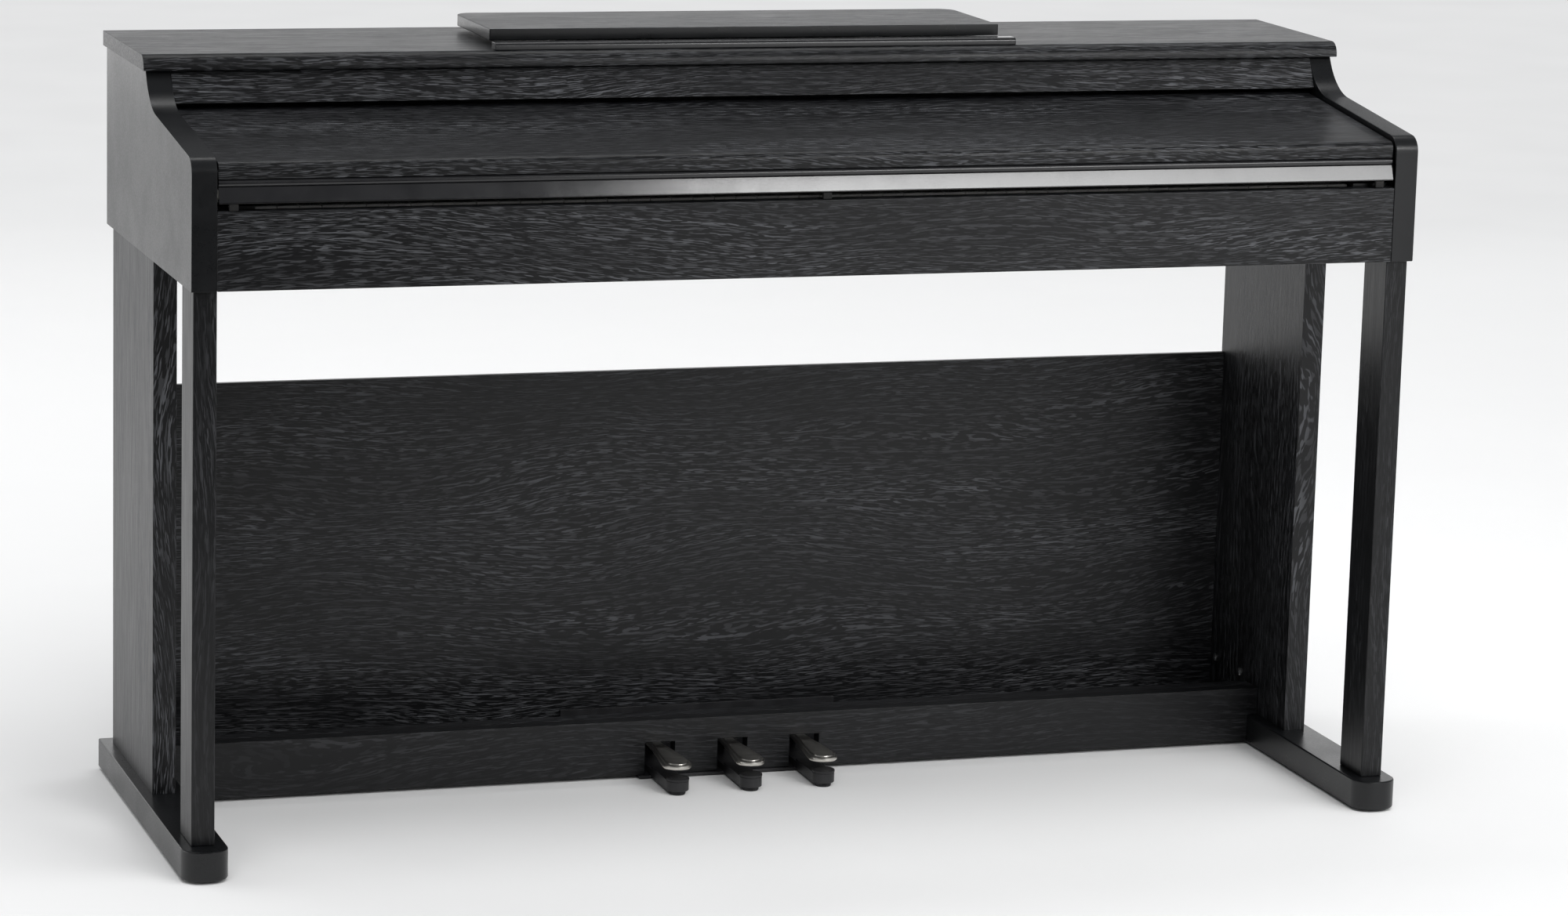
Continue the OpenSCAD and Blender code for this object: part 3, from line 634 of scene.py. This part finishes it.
def buildHeadTree():
    tree, given = startTree("roundHeads", {"Radius": "Float", "Height": "Float", "Crown": "Float",
                                           "Socket Radius": "Float", "Socket Depth": "Float", "Sides": "Int",
                                           "Material": "Material"})
    disc = addNode(tree, "GeometryNodeMeshCircle", {"fill_type": "NGON"},
                   {"Vertices": given["Sides"], "Radius": given["Radius"]}).outputs[0]
    wallShare, domeShare = 0.7, 0.3
    wall, top = extrude(tree, disc, calc(tree, "MULTIPLY", given["Height"], wallShare))
    dome, crown = extrude(tree, wall, calc(tree, "MULTIPLY", given["Height"], domeShare), top)
    dome = shrink(tree, dome, crown, given["Crown"])
    rimmed, mouth = extrude(tree, dome, 0.0, crown)
    crownRadius = calc(tree, "MULTIPLY", given["Radius"], given["Crown"])
    share = calc(tree, "DIVIDE", given["Socket Radius"], crownRadius)
    rimmed = shrink(tree, rimmed, mouth, share)
    sunk = extrude(tree, rimmed, calc(tree, "MULTIPLY", given["Socket Depth"], -1.0), mouth)[0]
    under = addNode(tree, "GeometryNodeFlipFaces", None, {"Mesh": disc}).outputs[0]
    head = addNode(tree, "GeometryNodeMergeByDistance", None,
                   {"Geometry": join(tree, sunk, under), "Distance": 0.00001}).outputs[0]
    return endTree(tree, placeOnPoints(tree, given["Geometry"], head), given["Material"])


headTree = buildHeadTree()
screwSizes = {"Radius": 4.5 * mm, "Height": 2.4 * mm, "Crown": 0.72, "Socket Radius": 1.9 * mm,
              "Socket Depth": 1.3 * mm, "Sides": 28, "Material": metal["zincSteel"]}
panelThickness = 25.5 * mm
low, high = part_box("stand_screws")
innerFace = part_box("side_panels")[1].x - panelThickness
screwPlaces, screwFacings = [], []
for sign in (-1.0, 1.0):
    for y in (low.y + screwSizes["Radius"], high.y - screwSizes["Radius"]):
        screwPlaces.append((sign * innerFace, y, (low.z + high.z) / 2))
        screwFacings.append((-sign, 0.0, 0.0))
standScrews = grow("stand_screw_heads", headTree, screwSizes, screwPlaces, screwFacings)
standFor(standScrews, "stand_screws")

low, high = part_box("foot_glides")
glideRadius = 11.0 * mm
glideSizes = {"Radius": glideRadius, "Height": high.z - low.z, "Crown": 0.86, "Socket Radius": 3.0 * mm,
              "Socket Depth": 0.6 * mm, "Sides": 36, "Material": smooth["softRubber"]}
middleGlides = (151.0 * mm, 301.0 * mm)  # behind the front of the first glide
glideRow = [low.y + glideRadius, *(low.y + gap for gap in middleGlides), high.y - glideRadius]
glidePlaces = [(sign * (high.x - glideRadius), y, high.z) for sign in (-1.0, 1.0) for y in glideRow]
glides = grow("foot_glide_pads", headTree, glideSizes, glidePlaces, [(0.0, 0.0, -1.0)] * len(glidePlaces))
standFor(glides, "foot_glides")

panelLow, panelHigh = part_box("back_panel")
backSizes = {**screwSizes, "Radius": 3.6 * mm, "Height": 1.4 * mm, "Socket Radius": 1.6 * mm,
             "Socket Depth": 0.8 * mm}
screwGap = 12.0 * mm
panelHeight = panelHigh.z - panelLow.z
backPlaces = [(sign * (panelHigh.x - screwGap), panelHigh.y, panelLow.z + panelHeight * share)
              for sign in (-1.0, 1.0) for share in (0.14, 0.38, 0.62, 0.86)]
caseLow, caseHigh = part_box("rear_board")
backPlaces += [(caseLow.x + (caseHigh.x - caseLow.x) * share, caseHigh.y, caseHigh.z - screwGap)
               for share in (0.02, 0.26, 0.5, 0.74, 0.98)]
backScrews = grow("rear_screw_heads", headTree, backSizes, backPlaces, [(0.0, 1.0, 0.0)] * len(backPlaces))
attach(backScrews, "cabinet")

baseLow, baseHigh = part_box("desk_hinge_bases")
hingeSizes = {**screwSizes, "Radius": 2.6 * mm, "Height": 0.55 * mm, "Crown": 0.8,
              "Socket Radius": 1.1 * mm, "Socket Depth": 0.3 * mm}
hingeLook = {"half": 31.0 * mm, "step": 20.0 * mm, "inset": 10.0 * mm, "leaf": 1.4 * mm}
hingeMiddle = (baseLow.x + baseHigh.x) / 2 + baseHigh.x - hingeLook["half"]
hingeSteps = [sign * hingeMiddle + step * hingeLook["step"] for sign in (-1.0, 1.0) for step in (-1, 0, 1)]
screwRow = baseHigh.y - hingeLook["inset"]
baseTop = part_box("top_board")[1].z + hingeLook["leaf"]
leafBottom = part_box("music_desk")[0].z - hingeLook["leaf"]
basePlaces = [(x, screwRow, baseTop) for x in hingeSteps]
leafPlaces = [(x, screwRow, leafBottom) for x in hingeSteps]
baseScrews = grow("hinge_base_screws", headTree, hingeSizes, basePlaces)
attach(baseScrews, "cabinet")
leafScrews = grow("hinge_leaf_screws", headTree, hingeSizes, leafPlaces,
                  [(0.0, 0.0, -1.0)] * len(leafPlaces))
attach(leafScrews, "desk")
print("screws and glides grown")


# ribbed knobs: pedal adjusters and the volume knob

def buildKnobTree():
    tree, given = startTree("ribbedKnob", {"Radius": "Float", "Rib Depth": "Float", "Ribs": "Int",
                                           "Height": "Float", "Crown": "Float", "Material": "Material"})
    star = addNode(tree, "GeometryNodeCurveStar", None, {
        "Points": given["Ribs"], "Outer Radius": given["Radius"],
        "Inner Radius": calc(tree, "SUBTRACT", given["Radius"], given["Rib Depth"])}).outputs[0]
    disc = addNode(tree, "GeometryNodeFillCurve", None, {"Curve": star}).outputs[0]
    endShare, wallShare, flare = 0.12, 0.76, 1.06
    foot, footTop = extrude(tree, disc, calc(tree, "MULTIPLY", given["Height"], endShare))
    foot = shrink(tree, foot, footTop, flare)
    wall, wallTop = extrude(tree, foot, calc(tree, "MULTIPLY", given["Height"], wallShare), footTop)
    cap, capTop = extrude(tree, wall, calc(tree, "MULTIPLY", given["Height"], endShare), wallTop)
    cap = shrink(tree, cap, capTop, given["Crown"])
    under = addNode(tree, "GeometryNodeFlipFaces", None, {"Mesh": disc}).outputs[0]
    knob = addNode(tree, "GeometryNodeMergeByDistance", None,
                   {"Geometry": join(tree, cap, under), "Distance": 0.00001}).outputs[0]
    return endTree(tree, placeOnPoints(tree, given["Geometry"], knob), given["Material"])


knobTree = buildKnobTree()
adjusterSizes = {"Radius": 8.5 * mm, "Rib Depth": 0.55 * mm, "Ribs": 44, "Height": 13.0 * mm, "Crown": 0.9,
                 "Material": smooth["mouldedPlastic"]}
for node, place in adjusterPlaces.items():
    standFor(grow(node + "_knurled", knobTree, adjusterSizes, [(place.x, place.y, 0.0)]), node)

knobSizes = {"Radius": 8.4 * mm, "Rib Depth": 0.5 * mm, "Ribs": 40, "Height": 5.5 * mm, "Crown": 0.88,
             "Material": smooth["mouldedPlastic"]}
# the knob stands square on the leaning control panel
panelLook = {"tilt": math.radians(13.0), "knobAt": 33.0 * mm, "knobGap": 0.5 * mm, "knobRim": 9.0 * mm}
lean, rise = math.sin(panelLook["tilt"]), math.cos(panelLook["tilt"])
knobFacing = (0.0, -lean, rise)
low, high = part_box("volume_knob")
knobCentre = Vector(((low.x + high.x) / 2, 0.0, high.z))
knobCentre.z -= panelLook["knobRim"] * lean + knobSizes["Height"] * rise
knobCentre.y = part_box("control_panel")[0].y + panelLook["knobAt"] * rise - panelLook["knobGap"] * lean
volumeKnob = grow("volume_knob_knurled", knobTree, knobSizes, [knobCentre], [knobFacing])
standFor(volumeKnob, "volume_knob")
print("knobs grown")


# slatted speaker grilles under the keybed

def buildGrilleTree():
    tree, given = startTree("slattedGrille", {"Radius": "Float", "Rim": "Float", "Depth": "Float",
                                              "Slats": "Int", "Slat Width": "Float", "Material": "Material"})
    inner = calc(tree, "SUBTRACT", given["Radius"], given["Rim"])
    halfRim = calc(tree, "MULTIPLY", given["Rim"], 0.5)
    circle = addNode(tree, "GeometryNodeCurvePrimitiveCircle", None, {
        "Resolution": 64, "Radius": calc(tree, "SUBTRACT", given["Radius"], halfRim)}).outputs[0]
    band = addNode(tree, "GeometryNodeCurvePrimitiveQuadrilateral", None,
                   {"Width": given["Rim"], "Height": given["Depth"]}).outputs[0]
    ring = addNode(tree, "GeometryNodeCurveToMesh", None,
                   {"Curve": circle, "Profile Curve": band}).outputs[0]
    reachShare, depthShare = 0.92, 0.8  # of the opening and of the rim's depth
    reach = calc(tree, "MULTIPLY", inner, reachShare)
    gaps = calc(tree, "SUBTRACT", given["Slats"], 1.0)
    gap = calc(tree, "DIVIDE", calc(tree, "MULTIPLY", reach, 2.0), gaps)
    leftEnd = calc(tree, "MULTIPLY", reach, -1.0)
    start = addNode(tree, "ShaderNodeCombineXYZ", None, {"X": leftEnd}).outputs[0]
    step = addNode(tree, "ShaderNodeCombineXYZ", None, {"X": gap}).outputs[0]
    line = addNode(tree, "GeometryNodeMeshLine", None,
                   {"Count": given["Slats"], "Start Location": start, "Offset": step}).outputs[0]
    x = addNode(tree, "ShaderNodeSeparateXYZ", None,
                {0: tree.nodes.new("GeometryNodeInputPosition").outputs[0]}).outputs["X"]
    squares = calc(tree, "SUBTRACT", calc(tree, "MULTIPLY", inner, inner), calc(tree, "MULTIPLY", x, x))
    chord = calc(tree, "SQRT", squares)
    length = calc(tree, "ADD", calc(tree, "MULTIPLY", chord, 2.0), given["Rim"])
    depth = calc(tree, "MULTIPLY", given["Depth"], depthShare)
    size = addNode(tree, "ShaderNodeCombineXYZ", None, {"X": given["Slat Width"], "Y": length, "Z": depth})
    bar = addNode(tree, "GeometryNodeMeshCube", None, {"Size": (1.0, 1.0, 1.0)}).outputs[0]
    slats = addNode(tree, "GeometryNodeInstanceOnPoints", None,
                    {"Points": line, "Instance": bar, "Scale": size.outputs[0]}).outputs[0]
    return endTree(tree, placeOnPoints(tree, given["Geometry"], join(tree, ring, slats)), given["Material"])


low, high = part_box("speaker_grilles")
grilleRadius = (high.y - low.y) / 2
grillePlaces = [(sign * (high.x - grilleRadius), (low.y + high.y) / 2, (low.z + high.z) / 2)
                for sign in (-1.0, 1.0)]
grilleSizes = {"Radius": grilleRadius, "Rim": 7.0 * mm, "Depth": high.z - low.z, "Slats": 11,
               "Slat Width": 4.5 * mm, "Material": smooth["mouldedPlastic"]}
grilles = grow("speaker_grille_slats", buildGrilleTree(), grilleSizes, grillePlaces)
standFor(grilles, "speaker_grilles")


# torsion springs on the pedal pins

def buildSpringTree():
    tree, given = startTree("torsionSpring", {"Turns": "Float", "Coil Radius": "Float",
                                              "Wire Radius": "Float", "Width": "Float",
                                              "Material": "Material"})
    coil = addNode(tree, "GeometryNodeCurveSpiral", None, {
        "Resolution": 20, "Rotations": given["Turns"], "Start Radius": given["Coil Radius"],
        "End Radius": given["Coil Radius"], "Height": given["Width"]}).outputs[0]
    section = addNode(tree, "GeometryNodeCurvePrimitiveCircle", None,
                      {"Resolution": 8, "Radius": given["Wire Radius"]}).outputs[0]
    wireMesh = addNode(tree, "GeometryNodeCurveToMesh", None,
                       {"Curve": coil, "Profile Curve": section, "Fill Caps": True}).outputs[0]
    return endTree(tree, placeOnPoints(tree, given["Geometry"], wireMesh), given["Material"])


springSizes = {"Turns": 1.8, "Coil Radius": 4.4 * mm, "Wire Radius": 0.8 * mm, "Width": 3.0 * mm,
               "Material": metal["zincSteel"]}
springStarts = (7.2 * mm, -10.2 * mm)  # beside the pedal's middle; each coil runs on to the right
low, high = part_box("pedal_springs")
springPlaces = []
for node in pedalNodes:
    middle = (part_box(node)[0].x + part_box(node)[1].x) / 2
    springPlaces += [(middle + start, (low.y + high.y) / 2, (low.z + high.z) / 2) for start in springStarts]
springs = grow("pedal_spring_coils", buildSpringTree(), springSizes, springPlaces,
               [(1.0, 0.0, 0.0)] * len(springPlaces))
standFor(springs, "pedal_springs")


# metal nuts round the sockets

def buildNutTree():
    tree, given = startTree("socketNuts", {"Radius": "Float", "Wall": "Float", "Material": "Material"})
    circle = addNode(tree, "GeometryNodeCurvePrimitiveCircle", None,
                     {"Resolution": 32, "Radius": given["Radius"]}).outputs[0]
    section = addNode(tree, "GeometryNodeCurvePrimitiveCircle", None,
                      {"Resolution": 8, "Radius": given["Wall"]}).outputs[0]
    ring = addNode(tree, "GeometryNodeCurveToMesh", None,
                   {"Curve": circle, "Profile Curve": section}).outputs[0]
    return endTree(tree, placeOnPoints(tree, given["Geometry"], ring), given["Material"])


nutPlaces, nutFacings = [], []
for mount in frame["record"]["mounts"]:
    if mount["kind"] == "bore":
        nutPlaces.append(tuple(mount["pos_m"]))
        nutFacings.append(tuple(mount["axis"]))
nutSizes = {"Radius": 4.4 * mm, "Wall": 0.8 * mm, "Material": metal["polishedNickel"]}
nuts = grow("socket_nuts", buildNutTree(), nutSizes, nutPlaces, nutFacings)
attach(nuts, "cabinet")
print("grilles, springs and nuts grown")


# nodes whose own shape stays

keptFinishes = {
    "main_board": greenBoard,
    "speaker_drivers": smooth["mouldedPlastic"],
    "key_frame": smooth["mouldedPlastic"],
    "key_pivot_rod": metal["zincSteel"],
    "key_felts": redFelt,
    "desk_hinge_bases": metal["zincSteel"],
    "desk_hinge_leaves": metal["zincSteel"],
    "pedal_pins": metal["zincSteel"],
}
for node, finish in keptFinishes.items():
    frame["nodes"][node].data.materials.clear()
    frame["nodes"][node].data.materials.append(finish)


# floor, lights and camera

floorLook = {"half": 30.0, "low": (0.80, 0.80, 0.80), "high": (0.84, 0.84, 0.84)}
floorMesh = bpy.data.meshes.new("floor")
half = floorLook["half"]
corners = [(-half, -half, 0.0), (half, -half, 0.0), (half, half, 0.0), (-half, half, 0.0)]
floorMesh.from_pydata(corners, [], [(0, 1, 2, 3)])
floorPaint, tree, shader, point = startMaterial("palePaper", Specular_IOR_Level=0.2)
paper = noise(tree, point, 3.0, 3.0)
wire(tree, shader, Base_Color=blendColour(tree, paper, floorLook["low"], floorLook["high"]),
     Roughness=ramp(tree, paper, 0.3, 0.7, 0.7, 0.8))
linkPiece("floor", floorMesh, [floorPaint])

bpy.context.scene.view_settings.view_transform = "Standard"
world = bpy.data.worlds.new("studio")
bpy.context.scene.world = world
world.use_nodes = True
skyLook = {"colour": (0.95, 0.97, 1.0, 1.0), "strength": 0.22}
sky = world.node_tree.nodes["Background"]
sky.inputs["Color"].default_value = skyLook["colour"]
sky.inputs["Strength"].default_value = skyLook["strength"]

softboxes = {
    "overhead": {"place": (0.0, 0.9, 3.3), "aim": (0.0, 0.0, 0.4), "size": (3.6, 0.7), "glow": 3.0},
    "backdrop": {"place": (0.6, 4.2, 1.15), "aim": (0.0, 0.0, 1.15), "size": (8.0, 1.7), "glow": 1.2,
                 "sheen": True},
    "leftWall": {"place": (-3.6, 1.2, 1.2), "aim": (0.0, 0.4, 0.7), "size": (3.4, 2.4), "glow": 1.7},
    "rightKey": {"place": (1.55, -3.0, 2.1), "aim": (0.85, -0.2, 0.7), "size": (1.5, 0.9), "glow": 14.0,
                 "spread": 52.0},
    "lowFill": {"place": (1.7, -3.8, 0.75), "aim": (1.0, -0.2, 0.6), "size": (1.8, 0.8), "glow": 3.0,
                "spread": 44.0},
}
for name, look in softboxes.items():
    light = bpy.data.lights.new(name, "AREA")
    light.shape = "RECTANGLE"
    light.size, light.size_y = look["size"]
    light.spread = math.radians(look.get("spread", 180.0))
    cone = math.tan(light.spread / 2)
    peak = cone / (cone - light.spread / 2)  # a narrower spread is brighter along its axis
    light.energy = look["glow"] * math.pi * light.size * light.size_y / peak
    lamp = bpy.data.objects.new(name, light)
    lamp.location = look["place"]
    lamp.rotation_euler = (Vector(look["aim"]) - Vector(look["place"])).to_track_quat("-Z", "Y").to_euler()
    lamp.visible_camera = False
    lamp.visible_diffuse = not look.get("sheen", False)  # a sheen light shows only in reflections
    bpy.context.scene.collection.objects.link(lamp)

# mostly lights the floor, and shows in no reflection
sunLook = {"strength": 2.9, "spread": 80.0, "heading": 20.0, "height": 56.0}
sun = bpy.data.lights.new("softSun", "SUN")
sun.energy = sunLook["strength"]
sun.angle = math.radians(sunLook["spread"])
sunLamp = bpy.data.objects.new("softSun", sun)
sunLamp.rotation_euler = (math.radians(90.0 - sunLook["height"]), 0.0, math.radians(sunLook["heading"]))
sunLamp.visible_glossy = False
bpy.context.scene.collection.objects.link(sunLamp)

# black card that only reflections show: it makes the bass side darker
flagLook = {"from": (-2.2, -1.65, 0.0), "to": (0.05, -1.65, 1.3)}
flagMesh = bpy.data.meshes.new("flag")
(x0, y0, z0), (x1, y1, z1) = flagLook["from"], flagLook["to"]
flagMesh.from_pydata([(x0, y0, z0), (x1, y0, z0), (x1, y1, z1), (x0, y1, z1)], [], [(0, 1, 2, 3)])
flag = linkPiece("flag", flagMesh, [smooth["softRubber"]])
flag.visible_camera = flag.visible_diffuse = flag.visible_shadow = False

cameraLook = {"place": (-1.70, -5.26, 1.48), "heading": 18.244, "down": 11.230, "roll": -1.543,
              "lens": 116.38, "sensor": 36.0}
heading, down, roll = (math.radians(cameraLook[key]) for key in ("heading", "down", "roll"))
forward = Vector((math.sin(heading) * math.cos(down), math.cos(heading) * math.cos(down), -math.sin(down)))
level = Vector((math.cos(heading), -math.sin(heading), 0.0))
below = forward.cross(level)
right = level * math.cos(roll) + below * math.sin(roll)
up = level * math.sin(roll) - below * math.cos(roll)
cameraData = bpy.data.cameras.new("camera")
cameraData.sensor_width = cameraLook["sensor"]
cameraData.lens = cameraLook["lens"]
camera = bpy.data.objects.new("camera", cameraData)
turned = Matrix((right, up, -forward)).transposed().to_4x4()
camera.matrix_world = Matrix.Translation(cameraLook["place"]) @ turned
bpy.context.scene.collection.objects.link(camera)
bpy.context.scene.camera = camera
print("studio set")
